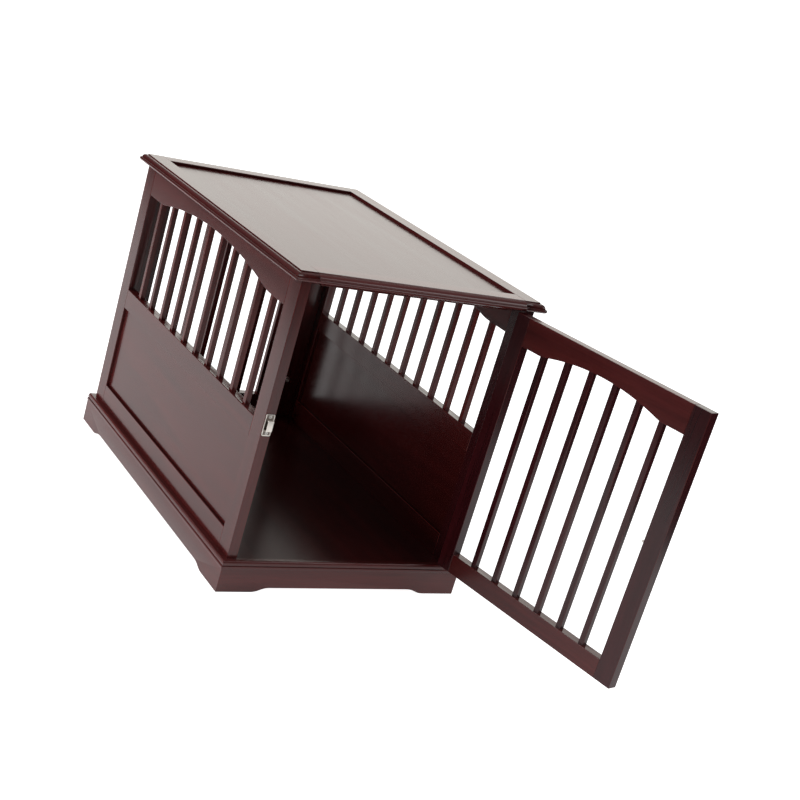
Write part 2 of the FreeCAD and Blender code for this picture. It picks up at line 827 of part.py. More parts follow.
for number, start_x in enumerate((near_guide_x, far_guide_x), start=1):
    plate_parts.append(
        rod_level("latch_guide_%d" % number, start_x, rod_y, latch_z, guide_radius, guide_wide, 0, DOOR)
    )
    plate_parts.append(
        board(
            "latch_guide_foot_%d" % number,
            (start_x, start_x + guide_wide),
            (rod_y, plate_y),
            (latch_z - guide_radius, latch_z + guide_radius),
            DOOR,
        )
    )
plate_solid = joined("latch_plate_solid", plate_parts)
rod_bore = rod_level(
    "latch_bore",
    plate_free_x - guide_wide,
    rod_y,
    latch_z,
    size("latch_rod_radius") + size("latch_rod_play"),
    size("latch_plate_long") + guide_wide * 2,
    0,
    DOOR,
)
cut("latch_plate", plate_solid, [rod_bore] + latch_screw_list)

# The bolt is drawn back. Its stem stands between the guides, and slides from the far one to the near one.
stem_x = far_guide_x - size("latch_stem_radius") - size("touch_gap")
bolt_rod = rod_level(
    "latch_rod", plate_free_x, rod_y, latch_z, size("latch_rod_radius"), size("latch_rod_long"), 0, DOOR
)
bolt_stem = rod_level(
    "latch_stem", stem_x, rod_y, latch_z, size("latch_stem_radius"), size("latch_stem_long"), 270, DOOR
)
knob_ball = doc.addObject("Part::Sphere", "latch_knob_ball")
bind(knob_ball, "Radius", size("latch_knob_radius"))
place_upright(knob_ball, stem_x, rod_y - size("latch_stem_long"), latch_z, DOOR)
joined("latch_bolt", [bolt_rod, bolt_stem, knob_ball])

# Keeper: a plate over the post's front edge, with a raised loop that the bolt slides into.
keeper_x = -half_width + frame_thick / 2
half_keeper = size("keeper_wide") / 2
half_keeper_tall = size("keeper_tall") / 2
loop_half = size("keeper_loop_wide") / 2
loop_half_tall = size("keeper_loop_tall") / 2
keeper_wall = size("keeper_wall")
loop_reach = size("latch_rod_stand") + size("latch_rod_radius") + size("keeper_loop_clear") + keeper_wall
keeper_screw_list = []
for number, sign in enumerate((-1, 1), start=1):
    screw_z = latch_z + sign * (loop_half_tall + half_keeper_tall) / 2
    name = "keeper_screw_%d" % number
    keeper_screw_list.append(screw_level(name, keeper_x, -half_depth - keeper_wall, screw_z, 90))
keeper_screws = group("keeper_screws", keeper_screw_list)
keeper_flat = board(
    "keeper_flat",
    (keeper_x - half_keeper, keeper_x + half_keeper),
    (-half_depth - keeper_wall, -half_depth),
    (latch_z - half_keeper_tall, latch_z + half_keeper_tall),
)
keeper_block = board(
    "keeper_block",
    (keeper_x - loop_half, keeper_x + loop_half),
    (-half_depth - loop_reach, -half_depth),
    (latch_z - loop_half_tall, latch_z + loop_half_tall),
)
keeper_tunnel = board(
    "keeper_tunnel",
    (keeper_x - loop_half * 2, keeper_x + loop_half * 2),
    (-half_depth - loop_reach + keeper_wall, -half_depth - keeper_wall),
    (latch_z - loop_half_tall + keeper_wall, latch_z + loop_half_tall - keeper_wall),
)
keeper_solid = joined("keeper_solid", [keeper_flat, keeper_block])
cut("latch_keeper", keeper_solid, [keeper_tunnel] + keeper_screw_list)

# ------------------------------------------------------------------------------------------
# Side panels: posts, bottom, middle and arched top rails, a thin lower panel in grooves, and slats above
# ------------------------------------------------------------------------------------------

side_low = floor_top
bottom_rail_top = side_low + size("side_bottom_rail_tall")
infill_top = bottom_rail_top + size("side_infill_tall")
mid_rail_top = infill_top + size("side_mid_rail_tall")
side_arch_z = body_top - size("side_top_rail_tall")
side_half_open = half_depth - stile_wide
side_slat_count = int(size("side_slat_count").number)
side_pitch = (side_half_open * 2 + size("slat_wide")) / (size("side_slat_count") + 1)

side_arch = (size("side_arch_shoulder"), size("side_arch_rise"))
side_post_z = (side_low, body_top)
for side, sign in (("left", -1), ("right", 1)):
    outer_x = half_width * sign
    inner_x = inner_half * sign
    x_range = (inner_x, outer_x) if sign > 0 else (outer_x, inner_x)
    middle_x = (inner_half + frame_thick / 2) * sign
    infill = board(
        side + "_lower_panel",
        (middle_x - size("side_infill_thick") / 2, middle_x + size("side_infill_thick") / 2),
        (-side_half_open - groove, side_half_open + groove),
        (bottom_rail_top - groove, infill_top + groove),
    )
    slat_list = []
    for number in range(side_slat_count):
        offset = side_pitch * (number - (side_slat_count - 1) / 2)
        slat_list.append(
            board(
                "%s_slat_%d" % (side, number + 1),
                (middle_x - half_slat_thick, middle_x + half_slat_thick),
                (offset - half_slat, offset + half_slat),
                (
                    mid_rail_top - size("slat_tenon"),
                    slat_top(offset, side_arch_z, side_half_open, *side_arch),
                ),
            )
        )
    slats = group(side + "_slats", slat_list)
    rail_y = (-side_half_open, side_half_open)
    front_post = board(side + "_front_post_blank", x_range, (-half_depth, -side_half_open), side_post_z)
    front_tools = [infill]
    if side == "left":
        front_tools.append(keeper_screws)
    else:
        front_tools.append(fixed_hinge_screws)
    cut(side + "_front_post", front_post, front_tools)
    back_post = board(side + "_back_post_blank", x_range, (side_half_open, half_depth), side_post_z)
    cut(side + "_back_post", back_post, [infill, cam_bolts])
    bottom_rail = board(side + "_bottom_rail_blank", x_range, rail_y, (side_low, bottom_rail_top))
    cut(side + "_bottom_rail", bottom_rail, [infill, floor_screws])
    mid_rail = board(side + "_mid_rail_blank", x_range, rail_y, (infill_top, mid_rail_top))
    cut(side + "_mid_rail", mid_rail, [infill, slats])
    arch = padded_body(
        side + "_top_rail_blank",
        "XZ_Plane",
        arch_corners(side_half_open, size("side_top_rail_tall"), *side_arch),
        frame_thick,
    )
    place_upright(arch, middle_x, as_size(0), body_top, CRATE, 90)
    cut(side + "_top_rail", arch, [slats])

# ------------------------------------------------------------------------------------------
# Back panel: posts, bottom rail and arched top rail between the sides, with full-height slats
# ------------------------------------------------------------------------------------------

end_slat_count = int(size("end_slat_count").number)
end_arch = (size("end_arch_shoulder"), size("end_arch_rise"))


def end_slats(name, middle_x, half_open, low_z, arch_z, face_y, carrier):
    """Full-height slats of the back panel or the door, centred in its thickness."""
    pitch = (half_open * 2 + size("slat_wide")) / (size("end_slat_count") + 1)
    middle_y = face_y + frame_thick / 2
    slat_list = []
    for number in range(end_slat_count):
        offset = pitch * (number - (end_slat_count - 1) / 2)
        slat_list.append(
            board(
                "%s_slat_%d" % (name, number + 1),
                (middle_x + offset - half_slat, middle_x + offset + half_slat),
                (middle_y - half_slat_thick, middle_y + half_slat_thick),
                (low_z - size("slat_tenon"), slat_top(offset, arch_z, half_open, *end_arch)),
                carrier,
            )
        )
    return group(name + "_slats", slat_list)


back_half_open = inner_half - stile_wide
back_rail_top = bottom_rail_top
back_arch_z = body_top - size("back_top_rail_tall")
back_slats = end_slats("back", as_size(0), back_half_open, back_rail_top, back_arch_z, back_inner_y, CRATE)
back_y = (back_inner_y, half_depth)
for side, sign in (("left", -1), ("right", 1)):
    x_range = (back_half_open, inner_half) if sign > 0 else (-inner_half, -back_half_open)
    post = board("back_post_blank_" + side, x_range, back_y, side_post_z)
    cut("back_post_" + side, post, [cams, cam_bolts])
back_rail_z = (side_low, back_rail_top)
back_rail = board("back_bottom_rail_blank", (-back_half_open, back_half_open), back_y, back_rail_z)
cut("back_bottom_rail", back_rail, [back_slats, floor_screws])
back_arch = padded_body(
    "back_top_rail_blank",
    "XZ_Plane",
    arch_corners(back_half_open, size("back_top_rail_tall"), *end_arch),
    frame_thick,
)
place_upright(back_arch, as_size(0), back_middle_y, body_top, CRATE)
cut("back_top_rail", back_arch, [back_slats])

# A strip under the top that the shut door comes to rest against.
stop_half = inner_half - size("door_stop_end_clear")
stop_y = door_inner_y + size("touch_gap")
board(
    "door_stop",
    (-stop_half, stop_half),
    (stop_y, stop_y + size("door_stop_deep")),
    (body_top - size("door_stop_tall"), body_top),
)

# ------------------------------------------------------------------------------------------
# Door: built like the back panel, hung on the right front post
# ------------------------------------------------------------------------------------------

door_open_low_x = door_free_x + size("door_free_stile_wide")
door_open_high_x = door_hinge_x - size("door_hinge_stile_wide")
door_middle_x = (door_open_low_x + door_open_high_x) / 2
door_half_open = (door_open_high_x - door_open_low_x) / 2
door_rail_top = door_low + size("door_bottom_rail_tall")
door_arch_z = door_high - size("door_top_rail_tall")
door_slats = end_slats(
    "door", door_middle_x, door_half_open, door_rail_top, door_arch_z, door_face_y, DOOR
)
door_y = (door_face_y, door_inner_y)
post_z = (door_low, door_high)
hinge_post = board("door_hinge_post_blank", (door_open_high_x, door_hinge_x), door_y, post_z, DOOR)
cut("door_hinge_post", hinge_post, [door_hinge_screws])
free_post = board("door_free_post_blank", (door_free_x, door_open_low_x), door_y, post_z, DOOR)
cut("door_free_post", free_post, [latch_screws])
door_rail = board(
    "door_bottom_rail_blank", (door_open_low_x, door_open_high_x), door_y, (door_low, door_rail_top), DOOR
)
cut("door_bottom_rail", door_rail, [door_slats])
door_arch = padded_body(
    "door_top_rail_blank",
    "XZ_Plane",
    arch_corners(door_half_open, size("door_top_rail_tall"), *end_arch),
    frame_thick,
)
place_upright(door_arch, door_middle_x, door_face_y + frame_thick / 2, door_high, DOOR)
cut("door_top_rail", door_arch, [door_slats])

# ------------------------------------------------------------------------------------------
# The nodes that are written out
# ------------------------------------------------------------------------------------------

NODES = [
    "top_rail_left",
    "top_rail_right",
    "top_rail_front",
    "top_rail_back",
    "top_panel",
    "top_cleat_left",
    "top_cleat_right",
    "top_cleat_screws",
    "left_front_post",
    "left_back_post",
    "left_bottom_rail",
    "left_mid_rail",
    "left_top_rail",
    "left_lower_panel",
    "left_slats",
    "right_front_post",
    "right_back_post",
    "right_bottom_rail",
    "right_mid_rail",
    "right_top_rail",
    "right_lower_panel",
    "right_slats",
    "back_post_left",
    "back_post_right",
    "back_bottom_rail",
    "back_top_rail",
    "back_slats",
    "cam_discs",
    "cam_bolts",
    "skirt_front",
    "skirt_back",
    "skirt_left",
    "skirt_right",
    "floor_panel",
    "floor_bearer_left",
    "floor_bearer_right",
    "floor_bearer_front",
    "floor_bearer_back",
    "floor_bearer_middle",
    "floor_screws",
    "door_stop",
    "hinge_fixed_leaf_upper",
    "hinge_fixed_leaf_lower",
    "hinge_pin_upper",
    "hinge_pin_lower",
    "hinge_fixed_screws",
    "latch_keeper",
    "keeper_screws",
    "door_hinge_post",
    "door_free_post",
    "door_top_rail",
    "door_bottom_rail",
    "door_slats",
    "hinge_door_leaf_upper",
    "hinge_door_leaf_lower",
    "hinge_door_screws",
    "latch_plate",
    "latch_screws",
    "latch_bolt",
]

doc.recompute()
for thing in doc.Objects:
    if "Invalid" in thing.State or "Error" in thing.State:
        raise RuntimeError("%s did not build: %s" % (thing.Label, thing.State))

os.makedirs("parts", exist_ok=True)
pieces = {thing.Label: thing for thing in doc.Objects if thing.Label in NODES}
for name in NODES:
    shape = pieces[name].Shape
    if shape.isNull() or not shape.isValid() or not shape.Solids:
        raise RuntimeError(name + " is not a valid solid")
for name in NODES:
    pieces[name].Shape.exportStep(os.path.join("parts", name + ".step"))
print(len(NODES), "nodes,", sum(len(pieces[name].Shape.Solids) for name in NODES), "solids")
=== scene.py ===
import math

import bmesh
import bpy
from mathutils import Matrix, Vector


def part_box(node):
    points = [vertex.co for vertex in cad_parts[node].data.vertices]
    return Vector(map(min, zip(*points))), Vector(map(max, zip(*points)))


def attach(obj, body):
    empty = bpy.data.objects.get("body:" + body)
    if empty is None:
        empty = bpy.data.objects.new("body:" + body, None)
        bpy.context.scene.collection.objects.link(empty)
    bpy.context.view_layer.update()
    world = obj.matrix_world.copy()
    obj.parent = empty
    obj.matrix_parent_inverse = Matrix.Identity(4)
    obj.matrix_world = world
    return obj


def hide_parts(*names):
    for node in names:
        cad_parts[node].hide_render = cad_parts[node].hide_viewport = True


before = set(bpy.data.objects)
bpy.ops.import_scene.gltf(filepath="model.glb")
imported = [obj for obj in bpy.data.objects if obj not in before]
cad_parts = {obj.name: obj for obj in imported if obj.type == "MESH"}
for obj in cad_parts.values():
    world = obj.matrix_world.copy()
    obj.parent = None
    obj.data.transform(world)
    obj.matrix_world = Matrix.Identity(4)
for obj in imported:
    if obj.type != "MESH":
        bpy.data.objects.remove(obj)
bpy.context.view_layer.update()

# --------------------------------------------------------------------------------------------------
# Moulded top: two long rails, two end rails and a thin panel let in 5 mm below them, all stained
# deep brown-red and lacquered to a gloss. The corners are eased with fine paper, so the stain is a
# little thinner along them.
# --------------------------------------------------------------------------------------------------

GRAIN_X = (0.07, 1.0, 1.0)
GRAIN_Y = (1.0, 0.07, 1.0)
GRAIN_Z = (1.0, 1.0, 0.07)
ARRIS = 0.0007
SHORTEST_EASED = 0.0032
LONG_EDGE = 0.05
BLUNT = math.radians(50)
ON_SURFACE = 0.00005
MERGE = 0.00002
SAME_PLANE = math.radians(0.5)


def stained_grain():
    """The figure of the stained wood: broad streaks, fine pores, and their colour and polish."""
    group = bpy.data.node_groups.new("stained_grain", "ShaderNodeTree")
    socket = group.interface.new_socket
    socket(name="Grain place", in_out="INPUT", socket_type="NodeSocketVector")
    socket(name="Deep stain", in_out="INPUT", socket_type="NodeSocketColor")
    socket(name="Thin stain", in_out="INPUT", socket_type="NodeSocketColor")
    socket(name="Figure", in_out="INPUT", socket_type="NodeSocketFloat")
    socket(name="Colour", in_out="OUTPUT", socket_type="NodeSocketColor")
    socket(name="Roughness", in_out="OUTPUT", socket_type="NodeSocketFloat")
    socket(name="Height", in_out="OUTPUT", socket_type="NodeSocketFloat")
    nodes, links = group.nodes, group.links
    inside = nodes.new("NodeGroupInput")
    outside = nodes.new("NodeGroupOutput")

    streaks = nodes.new("ShaderNodeTexNoise")
    streaks.inputs["Scale"].default_value = 38
    streaks.inputs["Detail"].default_value = 5
    streaks.inputs["Roughness"].default_value = 0.62
    streaks.inputs["Distortion"].default_value = 0.5
    links.new(inside.outputs["Grain place"], streaks.inputs["Vector"])

    pores = nodes.new("ShaderNodeTexNoise")
    pores.inputs["Scale"].default_value = 520
    pores.inputs["Detail"].default_value = 2
    pores.inputs["Roughness"].default_value = 0.5
    links.new(inside.outputs["Grain place"], pores.inputs["Vector"])

    pore_mask = nodes.new("ShaderNodeMapRange")
    pore_mask.inputs["From Min"].default_value = 0.56
    pore_mask.inputs["From Max"].default_value = 0.72
    links.new(pores.outputs["Fac"], pore_mask.inputs["Value"])

    streak_mask = nodes.new("ShaderNodeMapRange")
    streak_mask.inputs["From Min"].default_value = 0.32
    streak_mask.inputs["From Max"].default_value = 0.70
    links.new(streaks.outputs["Fac"], streak_mask.inputs["Value"])

    strength = nodes.new("ShaderNodeMath")
    strength.operation = "MULTIPLY"
    links.new(streak_mask.outputs["Result"], strength.inputs[0])
    links.new(inside.outputs["Figure"], strength.inputs[1])

    stain = nodes.new("ShaderNodeMix")
    stain.data_type = "RGBA"
    links.new(strength.outputs["Value"], stain.inputs["Factor"])
    links.new(inside.outputs["Deep stain"], stain.inputs["A"])
    links.new(inside.outputs["Thin stain"], stain.inputs["B"])

    filled = nodes.new("ShaderNodeMix")
    filled.data_type = "RGBA"
    filled.blend_type = "MULTIPLY"
    filled.inputs["B"].default_value = (0.93, 0.91, 0.91, 1)
    links.new(pore_mask.outputs["Result"], filled.inputs["Factor"])
    links.new(stain.outputs["Result"], filled.inputs["A"])
    links.new(filled.outputs["Result"], outside.inputs["Colour"])

    polish = nodes.new("ShaderNodeMapRange")
    polish.inputs["To Min"].default_value = 0.17
    polish.inputs["To Max"].default_value = 0.25
    links.new(streaks.outputs["Fac"], polish.inputs["Value"])
    links.new(polish.outputs["Result"], outside.inputs["Roughness"])

    sunk = nodes.new("ShaderNodeMath")
    sunk.operation = "MULTIPLY_ADD"
    sunk.inputs[1].default_value = -0.2
    links.new(pore_mask.outputs["Result"], sunk.inputs[0])
    links.new(streaks.outputs["Fac"], sunk.inputs[2])
    links.new(sunk.outputs["Value"], outside.inputs["Height"])
    return group


grain_group = stained_grain()


def stained_wood(name, grain, stain, figure=1.0, shift=(0, 0, 0), turn=0.0, gloss=0.5):
    """Lacquered wood whose figure runs along one axis of the piece. A stain is deep and thin in turn."""
    deep, thin = stain
    finish = bpy.data.materials.new(name)
    finish.use_nodes = True
    nodes, links = finish.node_tree.nodes, finish.node_tree.links
    lacquer = nodes["Principled BSDF"]
    lacquer.inputs["IOR"].default_value = 1.5
    lacquer.inputs["Specular IOR Level"].default_value = gloss

    place = nodes.new("ShaderNodeTexCoord")
    turned = nodes.new("ShaderNodeMapping")
    turned.inputs["Rotation"].default_value = (0, 0, -turn)
    turned.inputs["Location"].default_value = shift
    links.new(place.outputs["Object"], turned.inputs["Vector"])
    stretched = nodes.new("ShaderNodeMapping")
    stretched.inputs["Scale"].default_value = grain
    links.new(turned.outputs["Vector"], stretched.inputs["Vector"])

    figured = nodes.new("ShaderNodeGroup")
    figured.node_tree = grain_group
    figured.inputs["Deep stain"].default_value = (*deep, 1)
    figured.inputs["Thin stain"].default_value = (*thin, 1)
    figured.inputs["Figure"].default_value = figure
    links.new(stretched.outputs["Vector"], figured.inputs["Grain place"])
    links.new(figured.outputs["Colour"], lacquer.inputs["Base Color"])
    links.new(figured.outputs["Roughness"], lacquer.inputs["Roughness"])

    relief = nodes.new("ShaderNodeBump")
    relief.inputs["Strength"].default_value = 0.06
    relief.inputs["Distance"].default_value = 0.0004
    links.new(figured.outputs["Height"], relief.inputs["Height"])
    links.new(relief.outputs["Normal"], lacquer.inputs["Normal"])
    return finish


BOARD_STAIN = ((0.052, 0.0064, 0.0062), (0.104, 0.0118, 0.0109))
FRONT_STAIN = ((0.066, 0.0080, 0.0076), (0.148, 0.0162, 0.0148))
EDGE_STAIN = ((0.056, 0.0072, 0.0068), (0.124, 0.0145, 0.0130))

edge_x = stained_wood("eased_edge_x", GRAIN_X, EDGE_STAIN)
edge_y = stained_wood("eased_edge_y", GRAIN_Y, EDGE_STAIN)
edge_z = stained_wood("eased_edge_z", GRAIN_Z, EDGE_STAIN)
top_long_wood = stained_wood("top_long_wood", GRAIN_Y, BOARD_STAIN, shift=(0.3, 0.1, 0))
top_front_wood = stained_wood("top_front_wood", GRAIN_X, FRONT_STAIN, shift=(0.1, 0.5, 0))
top_back_wood = stained_wood("top_back_wood", GRAIN_X, BOARD_STAIN, shift=(0.5, 0.1, 0.3))
top_panel_wood = stained_wood("top_panel_wood", GRAIN_Y, BOARD_STAIN, figure=0.85, shift=(0.7, 0.2, 0.4))


def whole_faced(node):
    """A copy of the CAD mesh, merged, with its triangles joined into whole faces."""
    form = bmesh.new()
    form.from_mesh(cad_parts[node].data)
    bmesh.ops.remove_doubles(form, verts=form.verts, dist=MERGE)
    bmesh.ops.dissolve_limit(
        form, angle_limit=SAME_PLANE, verts=form.verts, edges=form.edges, delimit={"NORMAL"}
    )
    return form


def rounded_off(form, lines, width, segments=2, clamp_overlap=False):
    """Rounds the given edges, and gives back the new faces."""
    made = bmesh.ops.bevel(
        form,
        geom=lines,
        offset=width,
        offset_type="OFFSET",
        segments=segments,
        profile=0.5,
        affect="EDGES",
        clamp_overlap=clamp_overlap,
        material=-1,
    )
    return made["faces"]


def shown(node, body, ending, form, finishes, sharp):
    """The finished form as a smooth-shaded piece, which rides its body and stands for its node."""
    shape = bpy.data.meshes.new(node + ending)
    form.to_mesh(shape)
    form.free()
    for finish in finishes:
        shape.materials.append(finish)
    shape.polygons.foreach_set("use_smooth", [True] * len(shape.polygons))
    shape.set_sharp_from_angle(angle=math.radians(sharp))
    piece = bpy.data.objects.new(node + ending, shape)
    bpy.context.collection.objects.link(piece)
    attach(piece, body)
    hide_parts(node)
    return piece


def eased(node, body, face, edge, turn=0.0, long_only=False):
    """The board with its corners eased. Mortises, grooves and holes keep their sharp mouths."""
    board = whole_faced(node)
    square = Matrix.Rotation(-turn, 3, "Z")
    spots = {vert: square @ vert.co for vert in board.verts}
    low = [min(spot[axis] for spot in spots.values()) for axis in range(3)]
    high = [max(spot[axis] for spot in spots.values()) for axis in range(3)]
    thin_axis = min(range(3), key=lambda axis: high[axis] - low[axis])

    def arris(line):
        if len(line.link_faces) != 2 or line.calc_length() < SHORTEST_EASED:
            return False
        if line.calc_face_angle(0) < BLUNT or not line.is_convex:
            return False
        if long_only:
            return line.calc_length() > LONG_EDGE
        ends = [spots[vert] for vert in line.verts]
        on = [
            axis
            for axis in range(3)
            for level in (low, high)
            if all(abs(end[axis] - level[axis]) < ON_SURFACE for end in ends)
        ]
        return thin_axis in on or len(on) > 1

    lines = [line for line in board.edges if arris(line)]
    for side in rounded_off(board, lines, ARRIS, clamp_overlap=True):
        side.material_index = 1
    piece = shown(node, body, "_wood", board, (face, edge), sharp=40)
    even = piece.modifiers.new("even_shading", "WEIGHTED_NORMAL")
    even.keep_sharp = True


eased("top_rail_left", "crate", top_long_wood, edge_y)
eased("top_rail_right", "crate", top_long_wood, edge_y)
eased("top_rail_front", "crate", top_front_wood, edge_x)
eased("top_rail_back", "crate", top_back_wood, edge_x)
eased("top_panel", "crate", top_panel_wood, edge_y)

# --------------------------------------------------------------------------------------------------
# Cleats and door stop under the top: plain square strips in the same finish. The cleats are screwed
# up into the long rails with countersunk steel screws, which have a cross recess.
# --------------------------------------------------------------------------------------------------

HIDDEN = {"figure": 0.8, "gloss": 0.3}
inner_long_wood = stained_wood("inner_long_wood", GRAIN_Y, BOARD_STAIN, shift=(0.9, 0.3, 0.1), **HIDDEN)
inner_cross_wood = stained_wood("inner_cross_wood", GRAIN_X, BOARD_STAIN, shift=(0.2, 0.8, 0.6), **HIDDEN)


def scratched_metal():
    """Fine drawn lines and a slow change of polish, for plated steel."""
    group = bpy.data.node_groups.new("scratched_metal", "ShaderNodeTree")
    socket = group.interface.new_socket
    socket(name="Line place", in_out="INPUT", socket_type="NodeSocketVector")
    socket(name="Bright", in_out="INPUT", socket_type="NodeSocketColor")
    socket(name="Dull", in_out="INPUT", socket_type="NodeSocketColor")
    socket(name="Colour", in_out="OUTPUT", socket_type="NodeSocketColor")
    socket(name="Roughness", in_out="OUTPUT", socket_type="NodeSocketFloat")
    socket(name="Height", in_out="OUTPUT", socket_type="NodeSocketFloat")
    nodes, links = group.nodes, group.links
    inside = nodes.new("NodeGroupInput")
    outside = nodes.new("NodeGroupOutput")
    lines = nodes.new("ShaderNodeTexNoise")
    lines.inputs["Scale"].default_value = 2600
    lines.inputs["Detail"].default_value = 2
    links.new(inside.outputs["Line place"], lines.inputs["Vector"])
    cloud = nodes.new("ShaderNodeTexNoise")
    cloud.inputs["Scale"].default_value = 160
    cloud.inputs["Detail"].default_value = 3
    links.new(inside.outputs["Line place"], cloud.inputs["Vector"])
    tint = nodes.new("ShaderNodeMix")
    tint.data_type = "RGBA"
    links.new(cloud.outputs["Fac"], tint.inputs["Factor"])
    links.new(inside.outputs["Bright"], tint.inputs["A"])
    links.new(inside.outputs["Dull"], tint.inputs["B"])
    links.new(tint.outputs["Result"], outside.inputs["Colour"])
    polish = nodes.new("ShaderNodeMapRange")
    polish.inputs["To Min"].default_value = 0.22
    polish.inputs["To Max"].default_value = 0.42
    links.new(lines.outputs["Fac"], polish.inputs["Value"])
    links.new(polish.outputs["Result"], outside.inputs["Roughness"])
    links.new(lines.outputs["Fac"], outside.inputs["Height"])
    return group


metal_group = scratched_metal()


def plated_steel(name, bright, dull, lines=(1, 1, 0.05)):
    """Plated steel or zinc with its drawn lines along the axis of the smallest value."""
    finish = bpy.data.materials.new(name)
    finish.use_nodes = True
    nodes, links = finish.node_tree.nodes, finish.node_tree.links
    plate = nodes["Principled BSDF"]
    plate.inputs["Metallic"].default_value = 1.0
    place = nodes.new("ShaderNodeTexCoord")
    stretched = nodes.new("ShaderNodeMapping")
    stretched.inputs["Scale"].default_value = lines
    links.new(place.outputs["Object"], stretched.inputs["Vector"])
    worn = nodes.new("ShaderNodeGroup")
    worn.node_tree = metal_group
    worn.inputs["Bright"].default_value = (*bright, 1)
    worn.inputs["Dull"].default_value = (*dull, 1)
    links.new(stretched.outputs["Vector"], worn.inputs["Line place"])
    links.new(worn.outputs["Colour"], plate.inputs["Base Color"])
    links.new(worn.outputs["Roughness"], plate.inputs["Roughness"])
    relief = nodes.new("ShaderNodeBump")
    relief.inputs["Strength"].default_value = 0.1
    relief.inputs["Distance"].default_value = 0.0001
    links.new(worn.outputs["Height"], relief.inputs["Height"])
    links.new(relief.outputs["Normal"], plate.inputs["Normal"])
    return finish


def carried(node, finish):
    """A piece of the frame that is shown as it is, in its own finish."""
    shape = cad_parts[node].data
    for number in range(len(shape.materials)):
        shape.materials[number] = finish
    if not shape.materials:
        shape.materials.append(finish)


FACING = 0.99
ROUND_CORNERS = 8
RIM_SHARES = (0.92, 0.75)
CENTRE_SHARE = 0.17
ARM_HALF_ANGLE = 14


def crossed(node, body, heading, finish, recess=0.56, deep=0.0009, crown=0.0):
    """Screws or cams with a cross recess pressed into the face that looks along the heading."""
    heading = Vector(heading)
    across = heading.orthogonal().normalized()
    upward = heading.cross(across)
    fixings = whole_faced(node)
    heads = [
        flat
        for flat in fixings.faces
        if flat.normal.dot(heading) > FACING and len(flat.verts) > ROUND_CORNERS
    ]
    for flat in heads:
        middle = flat.calc_center_median()
        radius = max((corner.co - middle).length for corner in flat.verts)
        rings = []
        reach = 1.0
        for share in (*RIM_SHARES, recess, CENTRE_SHARE):
            step = (reach - share) * radius
            rings.append(bmesh.ops.inset_individual(fixings, faces=[flat], thickness=step, depth=0))
            reach = share
        inner = {corner for ring in rings for quad in ring["faces"] for corner in quad.verts}
        for corner in inner:
            corner.co += heading * crown * (1 - min(1, (corner.co - middle).length / radius) ** 2)
        arms = [flat]
        for quad in rings[-1]["faces"]:
            spoke = quad.calc_center_median() - middle
            angle = math.degrees(math.atan2(spoke.dot(upward), spoke.dot(across)))
            if abs((angle + 45) % 90 - 45) < ARM_HALF_ANGLE:
                arms.append(quad)
        pressed = bmesh.ops.extrude_face_region(fixings, geom=arms)
        bmesh.ops.delete(fixings, geom=arms, context="FACES")
        bmesh.ops.translate(fixings, vec=-heading * deep, verts=corners_of(pressed))
    fitted(node, body, fixings, finish)


def corners_of(made):
    """The vertices among what an operator has made."""
    return [corner for corner in made["geom"] if isinstance(corner, bmesh.types.BMVert)]


def fitted(node, body, form, *finishes):
    """The finished metal piece, which stands for its node."""
    shown(node, body, "_metal", form, finishes, sharp=35)


screw_steel = plated_steel("screw_steel", (0.62, 0.60, 0.56), (0.40, 0.38, 0.36))

eased("top_cleat_left", "crate", inner_long_wood, edge_y)
eased("top_cleat_right", "crate", inner_long_wood, edge_y)
eased("door_stop", "crate", inner_cross_wood, edge_x)
crossed("top_cleat_screws", "crate", (0, 0, -1), screw_steel)

# --------------------------------------------------------------------------------------------------
# Side panels: posts, rails and square slats of solid wood, and a thin panel let into grooves below.
# The arch in the top rail is cut with a template and sanded. The right side's front post, straight
# rails and panel are coloured darker as painted shade: the front post for the door's shadow and the
# shade inside the crate, the rails and panel for the shade inside the crate.
# --------------------------------------------------------------------------------------------------

SLAT_STAIN = ((0.052, 0.0066, 0.0062), (0.118, 0.0138, 0.0120))
# Dark stain of the door's posts and slats. On the right side's front post it is painted shade, for the
# door's shadow and the shade inside the crate.
DARK_STAIN_AND_SHADE = ((0.024, 0.0032, 0.0044), (0.056, 0.0068, 0.0090))
# The stain made darker as painted shade inside the crate, for the right side's straight rails and panel.
INNER_PAINTED_SHADE = ((0.034, 0.0038, 0.0038), (0.066, 0.0072, 0.0068))
SLAT_GLOSS = 0.32

for side, far, front_post_stain_and_shade, low_stain_and_shade in (
    ("left", 0.0, BOARD_STAIN, BOARD_STAIN),
    ("right", 0.45, DARK_STAIN_AND_SHADE, INNER_PAINTED_SHADE),
):
    front_post_wood = stained_wood(side + "_front_wood", GRAIN_Z, front_post_stain_and_shade, shift=(0.7, far, 0.4))
    post_wood = stained_wood(side + "_post_wood", GRAIN_Z, BOARD_STAIN, shift=(far, 0.2, 0))
    rail_wood = stained_wood(side + "_rail_wood", GRAIN_Y, low_stain_and_shade, shift=(0.3, far, 0.7))
    arch_wood = stained_wood(side + "_arch_wood", GRAIN_Y, BOARD_STAIN, shift=(0.6, far + 0.2, 0.1))
    panel_wood = stained_wood(side + "_panel_wood", GRAIN_Y, low_stain_and_shade, figure=0.75, shift=(far, 0.9, 0.3))
    slat_wood = stained_wood(
        side + "_slat_wood", GRAIN_Z, SLAT_STAIN, shift=(far, 0.4, 0.2), gloss=SLAT_GLOSS
    )
    eased(side + "_front_post", "crate", front_post_wood, edge_z)
    eased(side + "_back_post", "crate", post_wood, edge_z)
    eased(side + "_bottom_rail", "crate", rail_wood, edge_y)
    eased(side + "_mid_rail", "crate", rail_wood, edge_y)
    eased(side + "_top_rail", "crate", arch_wood, edge_y)
    eased(side + "_lower_panel", "crate", panel_wood, edge_y)
    eased(side + "_slats", "crate", slat_wood, edge_z, long_only=True)

# --------------------------------------------------------------------------------------------------
# Back panel: the same build as the door, with an arched rail over full-height slats. Each post
# holds two zinc cam discs that pull the sides' bolts tight.
# --------------------------------------------------------------------------------------------------

